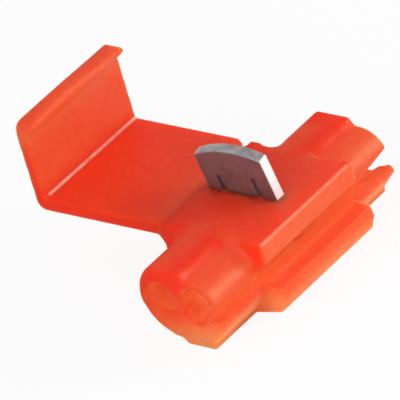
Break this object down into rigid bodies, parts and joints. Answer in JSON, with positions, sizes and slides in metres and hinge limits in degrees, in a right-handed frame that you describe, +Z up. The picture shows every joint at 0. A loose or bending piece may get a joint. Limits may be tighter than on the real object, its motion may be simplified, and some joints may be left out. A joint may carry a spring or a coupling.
{
  "type": "t-tap connector",
  "caption": "Red quick-splice tap connector, open: moulded housing with two wire channels, hinged snap cover, and a slotted contact blade part-way pressed in.",
  "frame": {"origin": "on the housing's underside, midway between the two wire channels", "axes": "+X from the cover across to the open side of the run channel, +Y along the wires towards the tap channel's wire stop, +Z up out of the contact pocket"},
  "size_m": [0.021, 0.0206, 0.0123],
  "materials": {
    "red_plastic": "translucent moulded, semi-gloss",
    "tinned_brass": "tin-plated, stamped edges"
  },
  "bodies": {
    "housing": {"housing": "red_plastic"},
    "cover": {"cover": "red_plastic"},
    "contact": {"contact_blade": "tinned_brass"}
  },
  "joints": [
    {"name": "cover_hinge", "type": "hinge", "parent": "housing", "child": "cover", "pos_m": [-0.00465, 0, 0.00598], "axis": [0, 1, 0], "range_deg": [0, 180]},
    {"name": "contact_press", "type": "slide", "parent": "housing", "child": "contact", "axis": [0.0941, 0.1403, -0.9856], "range_m": [0, 0.00406]}
  ],
  "couplings": [
    {"joint": "cover_hinge", "follows": "contact_press", "rad_per_m": 773.5}
  ]
}
